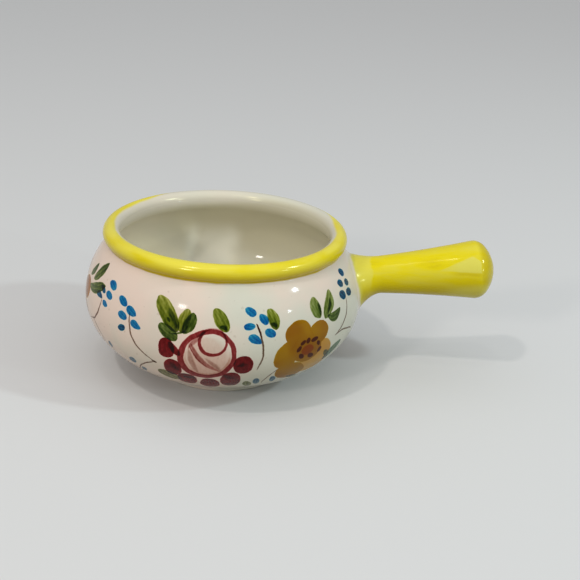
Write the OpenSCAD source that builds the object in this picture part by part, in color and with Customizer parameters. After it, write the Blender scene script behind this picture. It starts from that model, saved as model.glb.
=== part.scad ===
// A hand-painted earthenware soup bowl: a round belly, a rolled rim and one hollow stick handle.
// Millimetres. The origin is the centre of the foot on the table, +Z is up and +X runs along the handle.

/* [Bowl] */
// Diameter of the belly at its widest
belly_d = 134; // [110:1:160]
// Radius of the curve from the belly up to the rim
shoulder_r = 40; // [36:0.5:46]
// Radius of the curve just under the belly
flank_r = 27; // [22:0.5:32]
// Angle that the curve under the belly turns through
flank_angle = 34; // [24:1:44]
// Radius of the curve from the flank in to the foot
base_r = 42; // [38:0.5:52]
// Thickness of the wall and the floor
wall = 3.8; // [3.4:0.1:5]
// Radius that eases the inside of the neck
throat_round = 1.5; // [1:0.1:3]

/* [Rim] */
// Thickness of the rolled rim
roll_d = 8.1; // [6.6:0.1:10]
// Angle up the shoulder curve at which the rolled rim sits
neck_angle = 48.5; // [44:0.5:52]
// How far the centre of the roll stands out from the wall's outer face
roll_out = 1.7; // [0.8:0.1:2.4]

/* [Foot] */
// Outer diameter of the foot ring
foot_d = 66; // [60:1:84]
// Height of the foot ring under the flat of the base
foot_h = 5; // [3:0.1:8]
// Width of the foot ring
foot_w = 5.2; // [4:0.1:8]
// How far each side of the foot ring leans out from the table to the base
foot_lean = 0.6; // [0:0.1:1.2]
// Rounding of the foot ring's resting edges
foot_round = 1.1; // [0.5:0.1:1.6]

/* [Handle] */
// Height of the handle's axis above the belly, where it crosses the belly's radius
handle_rise = 11.5; // [8:0.5:14]
// Angle by which the handle rises
handle_tilt = 5.7; // [0:0.1:12]
// Length from the belly's radius to the tip, along the axis
handle_len = 65.6; // [58:0.1:90]
// Diameter of the grip at its root
grip_root_d = 18.5; // [16:0.1:22]
// Largest diameter of the grip, near its closed end
grip_end_d = 28.6; // [24:0.1:34]
// Length of the closed end, from the largest diameter to the tip
grip_end_len = 9.7; // [8.6:0.1:12]
// Radius of the edge round the closed end
grip_edge_r = 7; // [5:0.1:7.1]
// Radius of the long hollow curve along the grip
grip_sweep_r = 630; // [500:5:900]
// Thickness of the grip's wall
grip_wall = 3.2; // [2.4:0.1:4.4]
// Diameter of the vent under the grip
vent_d = 3; // [2:0.1:4]
// Distance of the vent from the grip's root
vent_inset = 7; // [4:0.5:20]

/* [Collar] */
// Length of the collar, from the belly's radius to the grip's root
collar_len = 10; // [8:0.5:14]
// Diameter of the collar at the belly's radius
collar_d = 24; // [22:0.1:30]
// How far the collar is centred below the handle's axis at the belly's radius
collar_drop = 2.8; // [0:0.1:4]
// How far the collar runs in past the belly's radius, to the wall
collar_sink = 7.5; // [6.8:0.1:8.5]

/* [Hidden] */
$fn = 120;

// One overrun for all cuts
over = 1;

// Sides of the whole circle that the grip's long curve is part of
sweep_sides = 1440;

// Power of the collar's flare, and the collar's sides and rings
flare_power = 1.8;
collar_sides = 48;
collar_rings = 10;
// Share of the roll's radius by which the wall's top lies below the roll's centre
seat_drop_share = 0.43;

// The bowl's outline: centres of its three curves, as [radius, height]
belly_r = belly_d / 2;
curve_step = base_r - flank_r;
belly_z = foot_h + base_r - curve_step * sin(flank_angle);
shoulder_c = [belly_r - shoulder_r, belly_z];
flank_c = [belly_r - flank_r, belly_z];
base_c = flank_c + curve_step * [-cos(flank_angle), sin(flank_angle)];

// The rolled rim: its centre, and the narrowest radius of the mouth
roll_r = roll_d / 2;
roll_c = shoulder_c + (shoulder_r + roll_out) * [cos(neck_angle), sin(neck_angle)];
throat_r = roll_c[0] - roll_r;
seat_z = roll_c[1] - seat_drop_share * roll_r;

// The neck's inside corner, and the round that eases it
hollow_r = shoulder_r - wall;
throat_x = throat_r - shoulder_c[0];
ease_x = throat_x + throat_round;
ease_reach = hollow_r + throat_round;
ease_c = shoulder_c + [ease_x, sqrt(pow(ease_reach, 2) - pow(ease_x, 2))];
ease_low = shoulder_c + (ease_c - shoulder_c) * (hollow_r - over) / ease_reach;
corner = shoulder_c + [throat_x, sqrt(pow(hollow_r, 2) - pow(throat_x, 2))];

// The grip's outline, as [radius, place along the axis]: edge, crown and sweep curves that meet tangent
grip_end_r = grip_end_d / 2;
edge_c = [grip_end_r - grip_edge_r, handle_len - grip_end_len];
crown_r = (pow(grip_end_len, 2) + pow(edge_c[0], 2) - pow(grip_edge_r, 2))
    / (2 * (grip_end_len - grip_edge_r));
crown_c = [0, handle_len - crown_r];
root_p = [grip_root_d / 2, collar_len];
root_to_edge = edge_c - root_p;
root_gap = norm(root_to_edge);
along = root_to_edge / root_gap;
sweep_reach = grip_sweep_r + grip_edge_r;
sweep_along = (pow(grip_sweep_r, 2) - pow(sweep_reach, 2) + pow(root_gap, 2)) / (2 * root_gap);
sweep_c = root_p + sweep_along * along
    + sqrt(pow(grip_sweep_r, 2) - pow(sweep_along, 2)) * [along[1], -along[0]];
edge_to_sweep = (sweep_c - edge_c) / norm(sweep_c - edge_c);
edge_to_crown = (edge_c - crown_c) / norm(edge_c - crown_c);
// How fast the grip widens at its root: the collar starts with the same slope
root_slope = (root_p[1] - sweep_c[1]) / (sweep_c[0] - root_p[0]);

// Everything inside the bowl's outline up to a height, or inside a line that lies deeper by a thickness
module bowl_shape(top, depth = 0) {
    turned = [cos(flank_angle), -sin(flank_angle)];
    intersection() {
        union() {
            intersection() {
                translate(shoulder_c) circle(shoulder_r - depth);
                translate([0, belly_z]) square([belly_d, top]);
            }
            translate(flank_c) circle(flank_r - depth);
            intersection() {
                translate(base_c) circle(base_r - depth);
                polygon([base_c, base_c + belly_d * turned, [belly_d, -belly_d], [0, -belly_d], [0, base_c[1]]]);
            }
            translate([0, foot_h + depth]) square([base_c[0], top]);
        }
        square([belly_d, top]);
    }
}

// The section of the wall, from the floor up to the seat of the rolled rim
module wall_section() {
    difference() {
        bowl_shape(seat_z);
        bowl_shape(seat_z + over, wall);
        translate([0, belly_z]) square([throat_r, seat_z]);
        difference() {
            polygon([ease_c, ease_c - [throat_round + over, 0], corner - [over, over], ease_low]);
            translate(ease_c) circle(throat_round);
        }
    }
}

// The solid inside the bowl's outer face, for trimming what is luted on to it
module bowl_solid() {
    rotate_extrude() bowl_shape(seat_z);
}

// The grip's outline from its root to its tip, or a line that lies deeper by a thickness
module grip_shape(start, depth = 0) {
    difference() {
        polygon([
            [0, start],
            [grip_end_r, start],
            edge_c + grip_end_r * edge_to_sweep,
            edge_c,
            [0, edge_c[1]]
        ]);
        translate(sweep_c) circle(grip_sweep_r + depth, $fn = sweep_sides);
    }
    translate(edge_c) circle(grip_edge_r - depth);
    intersection() {
        translate(crown_c) circle(crown_r - depth);
        polygon([
            crown_c,
            [0, handle_len + grip_end_r],
            [grip_end_d, handle_len + grip_end_r],
            crown_c + grip_end_d * edge_to_crown
        ]);
    }
}

// Puts what is drawn along +Z onto the handle's axis, with zero at the belly's radius
module on_handle() {
    translate([belly_r, 0, belly_z + handle_rise]) rotate([0, 90 - handle_tilt, 0]) children();
}

// The collar's flare at a place along the axis: 1 at the belly's radius and 0 at the grip's root
function flare(place) = pow((collar_len - place) / collar_len, flare_power);

// One ring of the collar. On the handle's axis +X points down
function collar_ring(place) =
    let (
        opening = flare(place),
        straight = root_p[0] - root_slope * (collar_len - place),
        radius = straight + (collar_d / 2 - root_p[0] + root_slope * collar_len) * opening,
        drop = collar_drop * opening
    )
    [for (side = [0 : collar_sides - 1])
        let (turn = 360 * side / collar_sides)
        [drop + radius * cos(turn), radius * sin(turn), place]];

// The collar as a loft of rings, from inside the wall to the grip's root
module collar_loft() {
    rings = [for (ring = [0 : collar_rings])
        collar_ring(-collar_sink + (collar_len + collar_sink) * ring / collar_rings)];
    last = collar_rings * collar_sides;
    polyhedron(
        points = [for (ring = rings) each ring],
        faces = concat(
            [[for (side = [0 : collar_sides - 1]) side]],
            [for (ring = [0 : collar_rings - 1], side = [0 : collar_sides - 1])
                let (
                    low = ring * collar_sides,
                    high = low + collar_sides,
                    next = (side + 1) % collar_sides
                )
                each [
                    [low + side, high + side, high + next],
                    [low + side, high + next, low + next]
                ]],
            [[for (side = [collar_sides - 1 : -1 : 0]) last + side]]
        )
    );
}

// Thrown body: belly, shoulder and floor in one wall
module bowl_body() {
    color("ivory") rotate_extrude() wall_section();
}

// Rolled rim: it covers the wall's top and laps down its outer face
module rim_roll() {
    color("gold") rotate_extrude() difference() {
        union() {
            translate(roll_c) circle(roll_r);
            translate([throat_r, seat_z]) square([roll_r, roll_c[1] - seat_z]);
        }
        wall_section();
    }
}

// Turned foot ring, bare clay, seated under the base
module foot_ring() {
    outer = foot_d / 2;
    inner = outer - foot_w;
    color("tan") difference() {
        rotate_extrude() polygon([
            [inner + foot_round, 0],
            [outer - foot_lean - foot_round, 0],
            [outer - foot_lean, foot_round],
            [outer, foot_h + wall],
            [inner, foot_h + wall],
            [inner, foot_round]
        ]);
        bowl_solid();
    }
}

// Hollow grip with a closed round end and a small vent underneath
module handle() {
    color("gold") on_handle() difference() {
        rotate_extrude() difference() {
            grip_shape(collar_len);
            grip_shape(collar_len - over, grip_wall);
        }
        translate([0, 0, collar_len + vent_inset]) rotate([0, 90, 0]) cylinder(h = grip_end_d, d = vent_d);
    }
}

// Luted collar: wide and low at the wall, round at the grip, with the grip's hollow running on inside
module handle_collar() {
    color("goldenrod") difference() {
        on_handle() difference() {
            collar_loft();
            translate([0, 0, -collar_sink - over])
                cylinder(h = collar_len + collar_sink + 2 * over, r = root_p[0] - grip_wall);
        }
        bowl_solid();
    }
}

bowl_body();
rim_roll();
foot_ring();
handle();
handle_collar();
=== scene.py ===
import math

import bpy
import numpy as np
from mathutils import Matrix, Vector


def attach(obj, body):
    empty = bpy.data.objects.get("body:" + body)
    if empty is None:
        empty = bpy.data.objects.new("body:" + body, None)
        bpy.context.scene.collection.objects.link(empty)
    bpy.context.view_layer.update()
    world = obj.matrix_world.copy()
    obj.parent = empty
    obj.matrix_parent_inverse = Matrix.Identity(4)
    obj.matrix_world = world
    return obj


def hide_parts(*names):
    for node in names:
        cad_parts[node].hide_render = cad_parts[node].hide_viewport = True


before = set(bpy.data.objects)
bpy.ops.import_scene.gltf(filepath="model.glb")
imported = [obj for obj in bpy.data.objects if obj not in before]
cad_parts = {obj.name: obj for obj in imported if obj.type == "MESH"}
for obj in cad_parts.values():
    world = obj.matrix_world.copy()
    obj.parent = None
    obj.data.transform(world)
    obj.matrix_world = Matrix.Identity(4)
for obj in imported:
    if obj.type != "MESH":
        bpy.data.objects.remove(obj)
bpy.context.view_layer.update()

# The bowl's own measures, in millimetres and degrees, as the solids have them
MM = 0.001
BELLY_R = 67.0
SHOULDER_R = 40.0
FLANK_R = 27.0
FLANK_ANGLE = 34.0
BASE_R = 42.0
WALL = 3.8
ROLL_R = 4.05
NECK_ANGLE = 48.5
ROLL_OUT = 1.7
FOOT_OUT = 33.0
FOOT_H = 5.0
FOOT_W = 5.2
FOOT_LEAN = 0.6
FOOT_ROUND = 1.1
HANDLE_RISE = 11.5
HANDLE_TILT = 5.7
HANDLE_LEN = 65.6
ROOT_R = 9.25
END_R = 14.3
END_LEN = 9.7
EDGE_R = 7.0
SWEEP_R = 630.0
VENT_R = 1.5
VENT_INSET = 7.0
ROOT_S = 10.0
COLLAR_R = 12.0
COLLAR_DROP = 2.8
FLARE_POWER = 1.8
# The glaze that softens the inside of the neck, that fills the crease under the rim, and on the collar
THROAT_GLAZE = 7.0
CREASE_FILL = 1.0
COLLAR_GLAZE = 0.35


def placed(name, data):
    """A new object in the scene."""
    made = bpy.data.objects.new(name, data)
    bpy.context.scene.collection.objects.link(made)
    return made


def unit(angle):
    """The direction at an angle in degrees, as radius and height."""
    return np.array((math.cos(math.radians(angle)), math.sin(math.radians(angle))))


# Centres of the bowl's curves, as radius and height
STEP = BASE_R - FLANK_R
BELLY_Z = FOOT_H + BASE_R - STEP * math.sin(math.radians(FLANK_ANGLE))
SHOULDER_C = np.array((BELLY_R - SHOULDER_R, BELLY_Z))
FLANK_C = np.array((BELLY_R - FLANK_R, BELLY_Z))
BASE_C = FLANK_C + STEP * unit(180 - FLANK_ANGLE)
ROLL_C = SHOULDER_C + (SHOULDER_R + ROLL_OUT) * unit(NECK_ANGLE)
THROAT_R = ROLL_C[0] - ROLL_R
EASE_REACH = SHOULDER_R - WALL + THROAT_GLAZE
EASE_TURN = math.degrees(math.acos((THROAT_R + THROAT_GLAZE - SHOULDER_C[0]) / EASE_REACH))
EASE_C = SHOULDER_C + EASE_REACH * unit(EASE_TURN)

# The handle's axis, and the circles of its outline as radius and place along the axis
TILT = math.radians(HANDLE_TILT)
AXIS_FROM = np.array((BELLY_R, 0.0, BELLY_Z + HANDLE_RISE))
ALONG = np.array((math.cos(TILT), 0.0, math.sin(TILT)))
UP = np.array((-math.sin(TILT), 0.0, math.cos(TILT)))
ACROSS = np.array((0.0, 1.0, 0.0))
EDGE_C = np.array((END_R - EDGE_R, HANDLE_LEN - END_LEN))
CROWN_R = (END_LEN ** 2 + EDGE_C[0] ** 2 - EDGE_R ** 2) / (2 * (END_LEN - EDGE_R))
CROWN_S = HANDLE_LEN - CROWN_R
ROOT = np.array((ROOT_R, ROOT_S))
ROOT_GAP = np.linalg.norm(EDGE_C - ROOT)
ROOT_WAY = (EDGE_C - ROOT) / ROOT_GAP
SWEEP_ALONG = (SWEEP_R ** 2 - (SWEEP_R + EDGE_R) ** 2 + ROOT_GAP ** 2) / (2 * ROOT_GAP)
SWEEP_C = (ROOT + SWEEP_ALONG * ROOT_WAY
           + math.sqrt(SWEEP_R ** 2 - SWEEP_ALONG ** 2) * np.array((ROOT_WAY[1], -ROOT_WAY[0])))
ROOT_SLOPE = (ROOT[1] - SWEEP_C[1]) / (SWEEP_C[0] - ROOT[0])
VENT_S = ROOT_S + VENT_INSET


# Shapes

# Waves in and out as millimetres, count round the pot, start and twist per millimetre up, and how far
# they are pushed in; then waves up and down as millimetres, count and start, and how far they are lowered
PUSH_WAVES = ((0.05, 2, 0.7, 0.0), (0.04, 3, -1.1, 1 / 21), (0.03, 5, 0.0, 1 / 13))
PUSH_IN = 0.12
LIFT_WAVES = ((0.06, 2, -0.4), (0.04, 3, 1.0))
LIFT_DOWN = 0.11
POT_HEIGHT = 74.0


def arc(centre, radius, start, end, count):
    """Points on an arc, angles in degrees from the radius axis."""
    turn = np.radians(np.linspace(start, end, count))
    return [(centre[0] + radius * math.cos(a), centre[1] + radius * math.sin(a)) for a in turn]


def thrown(points):
    """The slight unevenness of a hand-thrown pot, as one smooth inward push of every piece."""
    x, y, z = points[..., 0], points[..., 1], points[..., 2]
    out = np.hypot(x, y)
    turn = np.arctan2(y, x)
    push = sum(size * np.sin(count * turn + start + z * twist) for size, count, start, twist in PUSH_WAVES)
    lift = sum(size * np.sin(count * turn + start) for size, count, start in LIFT_WAVES)
    share = np.minimum(out, BELLY_R) / BELLY_R
    scale = 1 + (push - PUSH_IN) * share / np.maximum(out, 1e-6)
    return np.stack((x * scale, y * scale, z * (1 + (lift - LIFT_DOWN) / POT_HEIGHT)), axis=-1)


def facing(rows):
    """Unit normals of a grid of points, from the differences along and around it."""
    along = np.gradient(rows, axis=0)
    around = np.roll(rows, -1, axis=1) - np.roll(rows, 1, axis=1)
    out = np.cross(around, along)
    return out / np.maximum(np.linalg.norm(out, axis=-1, keepdims=True), 1e-12)


def skin(name, stands_for, finish, rows, normals, start=None, end=None, ring=False, bands=None):
    """One closed piece from a grid of points: rows along it, columns around it, a point at either end."""
    count, sides = rows.shape[:2]
    points = [tuple(p) for p in (rows.reshape(-1, 3) * MM)]
    faces_at = [tuple(n) for n in normals.reshape(-1, 3)]
    faces = []
    band = []
    for i in range(count if ring else count - 1):
        j = (i + 1) % count
        for k in range(sides):
            m = (k + 1) % sides
            faces.append((i * sides + k, i * sides + m, j * sides + m, j * sides + k))
            band.append((i, k))
    for pole, row, flip in ((start, 0, True), (end, count - 1, False)):
        if pole is None:
            continue
        at = len(points)
        points.append(tuple(np.array(pole) * MM))
        mean = normals[row].mean(axis=0)
        size = np.linalg.norm(mean)
        faces_at.append(tuple(mean / size) if size > 1e-6 else (0, 0, 1))
        for k in range(sides):
            one, two = row * sides + k, row * sides + (k + 1) % sides
            faces.append((at, two, one) if flip else (at, one, two))
            band.append((row if flip else row - 1, k))
    mesh = bpy.data.meshes.new(name)
    mesh.from_pydata(points, [], faces)
    for kind in finish:
        mesh.materials.append(kind)
    if bands:
        mesh.polygons.foreach_set("material_index", [bands(*at) for at in band])
    mesh.shade_smooth()
    mesh.normals_split_custom_set_from_vertices(faces_at)
    mesh.update()
    piece = placed(name, mesh)
    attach(piece, "root")
    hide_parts(stands_for)


def turned(profile, sides):
    """A profile of (radius, height) points turned about the bowl's axis."""
    turn = np.linspace(0, 2 * math.pi, sides, endpoint=False)
    r, z = np.array(profile).T[..., None]
    return thrown(np.stack((r * np.cos(turn), r * np.sin(turn), z + 0 * turn), axis=-1))


def crease():
    """The glaze that fills the crease under the rim: its centre, and the angles of its two ends."""
    one, two = SHOULDER_C, ROLL_C
    a = SHOULDER_R + CREASE_FILL
    b = ROLL_R + CREASE_FILL
    gap = np.linalg.norm(two - one)
    way = (two - one) / gap
    u = (a * a - b * b + gap * gap) / (2 * gap)
    v = math.sqrt(a * a - u * u)
    centre = one + way * u + np.array((way[1], -way[0])) * v
    low, high = (math.degrees(math.atan2(centre[1] - at[1], centre[0] - at[0])) for at in (one, two))
    return centre, low, high


CREASE, CREASE_LOW, CREASE_HIGH = crease()
CREASE_Z = CREASE[1] - CREASE_FILL * math.sin(math.radians(CREASE_LOW))


# Nodes

def fresh(name):
    """A new material, with its empty node tree."""
    kind = bpy.data.materials.new(name)
    kind.use_nodes = True
    kind.node_tree.nodes.clear()
    return kind, kind.node_tree


def feed(socket, value):
    """Puts a link, a number or several numbers on an input."""
    if hasattr(value, "is_output"):
        socket.id_data.links.new(value, socket)
    else:
        socket.default_value = value


def fill(node, values):
    """Feeds a node's inputs, by their names or by their order."""
    for name, value in values.items():
        feed(node.inputs[name], value)


def beside(values, kind):
    """A new node of a kind, in the tree of the first link among some values."""
    link = next(value for value in values if hasattr(value, "is_output"))
    return link.id_data.nodes.new("ShaderNode" + kind)


def maths(work, *values, clamp=False):
    """One sum on links and numbers."""
    node = beside(values, "Math")
    node.operation = work
    node.use_clamp = clamp
    fill(node, dict(enumerate(values)))
    return node.outputs[0]


def times(first, *others, clamp=False):
    for value in others:
        first = maths("MULTIPLY", first, value, clamp=clamp)
    return first


def plus(one, two):
    return maths("ADD", one, two)


def minus(one, two, clamp=False):
    return maths("SUBTRACT", one, two, clamp=clamp)


def times_plus(one, two, three, clamp=False):
    """One times two, plus three."""
    return maths("MULTIPLY_ADD", one, two, three, clamp=clamp)


def larger(one, two):
    return maths("MAXIMUM", one, two)


def apart(one, two):
    """How far one number is from another."""
    return maths("ABSOLUTE", minus(one, two))


def length(x, y):
    """How far a place is from zero, from its two parts."""
    return maths("SQRT", times_plus(x, x, times(y, y)))


def vector(work, *values):
    """The same for places and colours."""
    node = beside(values, "VectorMath")
    node.operation = work
    fill(node, dict(enumerate(values)))
    return node.outputs["Value" if work == "DOT_PRODUCT" else "Vector"]


def noise(place, scale, detail=2.0, rough=0.5, colour=False):
    """Noise between 0 and 1. The scale is a number, or a triple that also stretches the noise."""
    if isinstance(scale, tuple):
        place, scale = vector("MULTIPLY", place, scale), 1.0
    node = beside((place,), "TexNoise")
    fill(node, {"Vector": place, "Scale": scale, "Detail": detail, "Roughness": rough})
    return node.outputs["Color" if colour else "Fac"]


def ramp(value, low, high, to_low=0.0, to_high=1.0, smooth=True):
    """Carries a value from one range over to another, and stops at its ends."""
    node = beside((value,), "MapRange")
    node.interpolation_type = "SMOOTHSTEP" if smooth else "LINEAR"
    fill(node, {"Value": value, "From Min": low, "From Max": high, "To Min": to_low, "To Max": to_high})
    return node.outputs["Result"]


def blend(share, one, two):
    """A mix of two colours, each a link or a triple."""
    node = beside((share, one, two), "Mix")
    node.data_type = "RGBA"
    feed(node.inputs[0], share)
    for at, colour in ((6, one), (7, two)):
        feed(node.inputs[at], (*colour, 1) if isinstance(colour, tuple) else colour)
    return node.outputs[2]


def parts_of(value):
    node = beside((value,), "SeparateXYZ")
    feed(node.inputs[0], value)
    return tuple(node.outputs)


def surface(tree):
    """The place on a piece, and its three parts in millimetres."""
    place = tree.nodes.new("ShaderNodeTexCoord").outputs["Object"]
    return place, parts_of(vector("MULTIPLY", place, (1 / MM, 1 / MM, 1 / MM)))


def joined(*values):
    node = beside(values, "CombineXYZ")
    fill(node, dict(enumerate(values)))
    return node.outputs[0]


def linear(r, g, b):
    """A colour written in ordinary 0 to 255 numbers, as the shader wants it."""
    out = []
    for value in (r, g, b):
        share = value / 255
        out.append(share / 12.92 if share <= 0.04045 else ((share + 0.055) / 1.055) ** 2.4)
    return tuple(out)


# The glaze: how it bends light, how much it mirrors, and how deep its fine unevenness is, in metres
GLAZE_IOR = 1.46
SHINE_PLAIN = 0.22
SHINE_PAINTED = 0.14
SHINE_RIM = 0.5
SHINE_HANDLE = 0.3
RELIEF_WALL = 0.0004
RELIEF_RIM = 0.0005
RELIEF_HANDLE = 0.0011
YELLOW_SHINE = (1.0, 0.94, 0.55)


def glaze_relief(place):
    """Broad soft waves, the throwing lines around the pot and a faint orange-peel in the glaze."""
    waves = noise(place, 38.0, 1.0)
    peel = noise(place, 260.0, 1.0)
    lines = noise(place, (6.0, 6.0, 190.0), 1.0)
    return times_plus(lines, 0.22, times_plus(peel, 0.05, waves))


def glaze_shader(place, colour, rough, relief=RELIEF_WALL, strength=0.5, shine=SHINE_PLAIN,
                 tint=(1.0, 1.0, 1.0), height=None, lean=None):
    """Glossy pottery glaze over a colour. Its roughness is a link, or two numbers that it varies between."""
    tree = place.id_data
    if isinstance(rough, tuple):
        rough = ramp(noise(place, 60.0), 0.3, 0.7, *rough)
    if height is None:
        height = glaze_relief(place)
    bump = tree.nodes.new("ShaderNodeBump")
    fill(bump, {"Strength": strength, "Distance": relief, "Height": height})
    if lean is not None:
        broad = tree.nodes.new("ShaderNodeBump")
        fill(broad, {"Strength": 1.0, "Distance": 1.0, "Height": lean})
        feed(bump.inputs["Normal"], broad.outputs[0])
    shader = tree.nodes.new("ShaderNodeBsdfPrincipled")
    fill(shader, {"Base Color": colour, "Roughness": rough, "IOR": GLAZE_IOR, "Specular IOR Level": shine,
                  "Specular Tint": (*tint, 1), "Normal": bump.outputs[0]})
    feed(tree.nodes.new("ShaderNodeOutputMaterial").inputs[0], shader.outputs[0])


def cream(place):
    """Off-white glaze with a random cloudy tone and sparse pin specks, and painted light across it: painted
    warm light on the side away from the handle and a painted cool reflection towards it.
    """
    # The slope across the bowl is painted light, warm away from the handle and cool towards it; the noise is
    # the glaze's own uneven tone
    cloud_and_light = times_plus(parts_of(place)[0], 2.4, noise(place, 24.0, 3.0))
    body = blend(ramp(cloud_and_light, 0.35, 0.68), CREAM_WARM, CREAM_COOL)
    speck = ramp(noise(place, 520.0, 0.0), 0.79, 0.84, 0.0, 0.2)
    return blend(speck, body, SPECK)


def lip_cream(place):
    """The same glaze on the lip and inside, a little greener than on the outer wall."""
    return blend(0.7, cream(place), CREAM_LIP)


def brush_node(name, places, numbers, results):
    """An empty node group with named inputs and results: its tree, its inputs and its results."""
    tree = bpy.data.node_groups.new(name, "ShaderNodeTree")
    for names, way, kind in ((places, "INPUT", "Vector"), (numbers, "INPUT", "Float"),
                             (results[:1], "OUTPUT", "Vector"), (results[1:], "OUTPUT", "Float")):
        for socket in names:
            tree.interface.new_socket(socket, in_out=way, socket_type="NodeSocket" + kind)
    return tree, tree.nodes.new("NodeGroupInput").outputs, tree.nodes.new("NodeGroupOutput").inputs


def brush_group(bristles=False):
    """One brush stroke: pointed, round or thin, its paint added to what is already there."""
    places = ("Spot", "Under", "Along", "Across", "Pigment")
    numbers = ("Bend", "Point", "Swell", "Fade", "Side", "Edge")
    tree, given, made = brush_node("brush_stroke", places, numbers, ("Over", "Amount"))
    q = vector("DOT_PRODUCT", given["Spot"], given["Along"])
    p = vector("DOT_PRODUCT", given["Spot"], given["Across"])
    square = times(q, q)
    p = times_plus(square, given["Bend"], p)
    taper = maths("POWER", minus(1.0, square, clamp=True), given["Point"])
    wide = times(taper, times_plus(q, given["Swell"], 1.0))
    inside = minus(wide, maths("ABSOLUTE", p))
    mask = times(inside, given["Edge"], clamp=True)
    dense = times_plus(p, given["Side"], times_plus(q, given["Fade"], 1.0))
    if bristles:
        for across, along, share in ((8.5, 2.2, 0.17), (15.0, -3.4, 0.10)):
            hair = maths("SINE", times_plus(p, across, times(q, along)))
            dense = times_plus(hair, share, dense)
    amount = times(mask, dense)
    feed(made["Amount"], amount)
    feed(made["Over"], vector("MULTIPLY_ADD", given["Pigment"], amount, given["Under"]))
    return tree


def ring_group():
    """A brushed ring or part of one, heavier on one side."""
    places = ("Spot", "Under", "Right", "High", "Heavy", "Kept", "Pigment")
    tree, given, made = brush_node("brush_ring", places, ("Edge",), ("Over",))
    x, y, wide, kept = (vector("DOT_PRODUCT", given["Spot"], given[name])
                        for name in ("Right", "High", "Heavy", "Kept"))
    off = apart(length(x, y), 1.0)
    mask = times(minus(wide, off), given["Edge"], clamp=True)
    amount = times(mask, times(kept, 1.0, clamp=True))
    feed(made["Over"], vector("MULTIPLY_ADD", given["Pigment"], amount, given["Under"]))
    return tree


# Colours

CREAM_WARM = linear(226, 206, 191)
CREAM_COOL = linear(207, 206, 190)
CREAM_LIP = linear(210, 207, 188)
CREAM_MEAN = linear(217, 207, 191)
# Painted light inside the bowl: a pale patch down the back and a warmer paleness low down; then a greyer
# cream of painted shade, inside and on the rim's inner face
PAINTED_LIGHT_CREAM = linear(238, 236, 220)
PAINTED_LIGHT_WARM = linear(236, 228, 200)
PAINTED_SHADE_CREAM = linear(202, 196, 171)
SPECK = linear(150, 132, 108)
YELLOW = linear(222, 204, 8)
# Paler yellow: thinner brushing, and the painted highlights on the rim's crest
YELLOW_THIN_AND_HIGHLIGHT = linear(228, 214, 66)
YELLOW_DEEP = linear(192, 166, 4)
LEMON = linear(222, 204, 0)
LEMON_THIN = linear(216, 208, 90)
LEMON_DEEP = linear(178, 154, 1)
CLAY = linear(196, 160, 126)
CLAY_DARK = linear(160, 124, 94)


def pigment(r, g, b):
    """How strongly a paint swallows each colour of the light, from its look on the glaze."""
    return tuple(math.log(base / seen) for base, seen in zip(CREAM_MEAN, linear(r, g, b)))


BLUE = pigment(8, 101, 150)
BLUE_DEEP = pigment(1, 66, 100)
OLIVE = pigment(98, 108, 22)
SAGE = pigment(102, 116, 50)
OLIVE_DEEP = pigment(66, 84, 24)
PINE = pigment(84, 106, 78)
MOSS = pigment(108, 108, 66)
CRIMSON = pigment(124, 38, 38)
WINE = pigment(112, 44, 40)
MAUVE = pigment(158, 108, 98)
BERRY = pigment(100, 8, 10)
BERRY_DARK = pigment(128, 70, 66)
BLUSH = pigment(204, 180, 162)
TAUPE = pigment(174, 148, 132)
OCHRE = pigment(150, 98, 1)
SIENNA = pigment(194, 140, 60)
AMBER = pigment(208, 184, 150)
RUST = pigment(198, 140, 62)
UMBER = pigment(108, 64, 20)
BARK = pigment(84, 44, 30)
STEM = pigment(92, 68, 52)
SLATE = pigment(74, 104, 122)

# The map that the paint is laid out on: millimetres across, at this radius, from the front
MAP_R = 60.0
DEGREE = MAP_R * math.pi / 180
EDGE_MM = 0.32


def stroke(start, end, half, ink, bend=0.0, point=0.5, swell=0.0, fade=0.0, side=0.0, edge=EDGE_MM):
    """A stroke between two places, each as degrees around and millimetres up: its span and its numbers."""
    one = np.array((start[0] * DEGREE, start[1]))
    two = np.array((end[0] * DEGREE, end[1]))
    middle = (one + two) / 2
    reach = (two - one) / 2
    size = reach @ reach
    along = reach / size
    across = np.array((-reach[1], reach[0])) / math.sqrt(size) / half
    aside = (half + abs(bend)) / DEGREE
    return (min(start[0], end[0]) - aside, max(start[0], end[0]) + aside), dict(
        Along=(*along, -along @ middle), Across=(*across, -across @ middle - bend / half),
        Pigment=ink, Bend=bend / half, Point=point, Swell=swell, Fade=fade, Side=side, Edge=half / edge)


def dab(place, half_long, half_wide, lean, ink, **more):
    """A short round touch of the brush, leaning by an angle from level."""
    turn = math.radians(lean)
    right, up = half_long * math.cos(turn) / DEGREE, half_long * math.sin(turn)
    x, y = place
    return stroke((x - right, y - up), (x + right, y + up), half_wide, ink, **more)


def dabs(ink, *rows, **more):
    """Dabs in one paint: degrees around, millimetres up, half length, half width, lean, swell and fade."""
    return [dab(row[:2], *row[2:5], ink, **dict(zip(("swell", "fade"), row[5:])), **more) for row in rows]


def hoop(place, half_wide, half_high, line, heavy, ink, kept=(0.0, 0.0, 1.0), skew=0.0):
    """One brushed ring, likewise; heavy is how much thicker it grows per millimetre right and up."""
    x, y = place[0] * DEGREE, place[1]
    mean = (half_wide + half_high) / 2
    aside = (half_wide + 2 * line) / DEGREE
    upright = math.sqrt(1 - skew ** 2)
    return (place[0] - aside, place[0] + aside), dict(
        Right=(1 / half_wide, -skew / half_high, skew * y / half_high - x / half_wide),
        High=(0.0, upright / half_high, -upright * y / half_high),
        Heavy=(heavy[0] / mean, heavy[1] / mean, (line - heavy[0] * x - heavy[1] * y) / mean),
        Kept=(kept[0], kept[1], kept[2] - kept[0] * x - kept[1] * y),
        Pigment=ink, Edge=mean / EDGE_MM)


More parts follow.
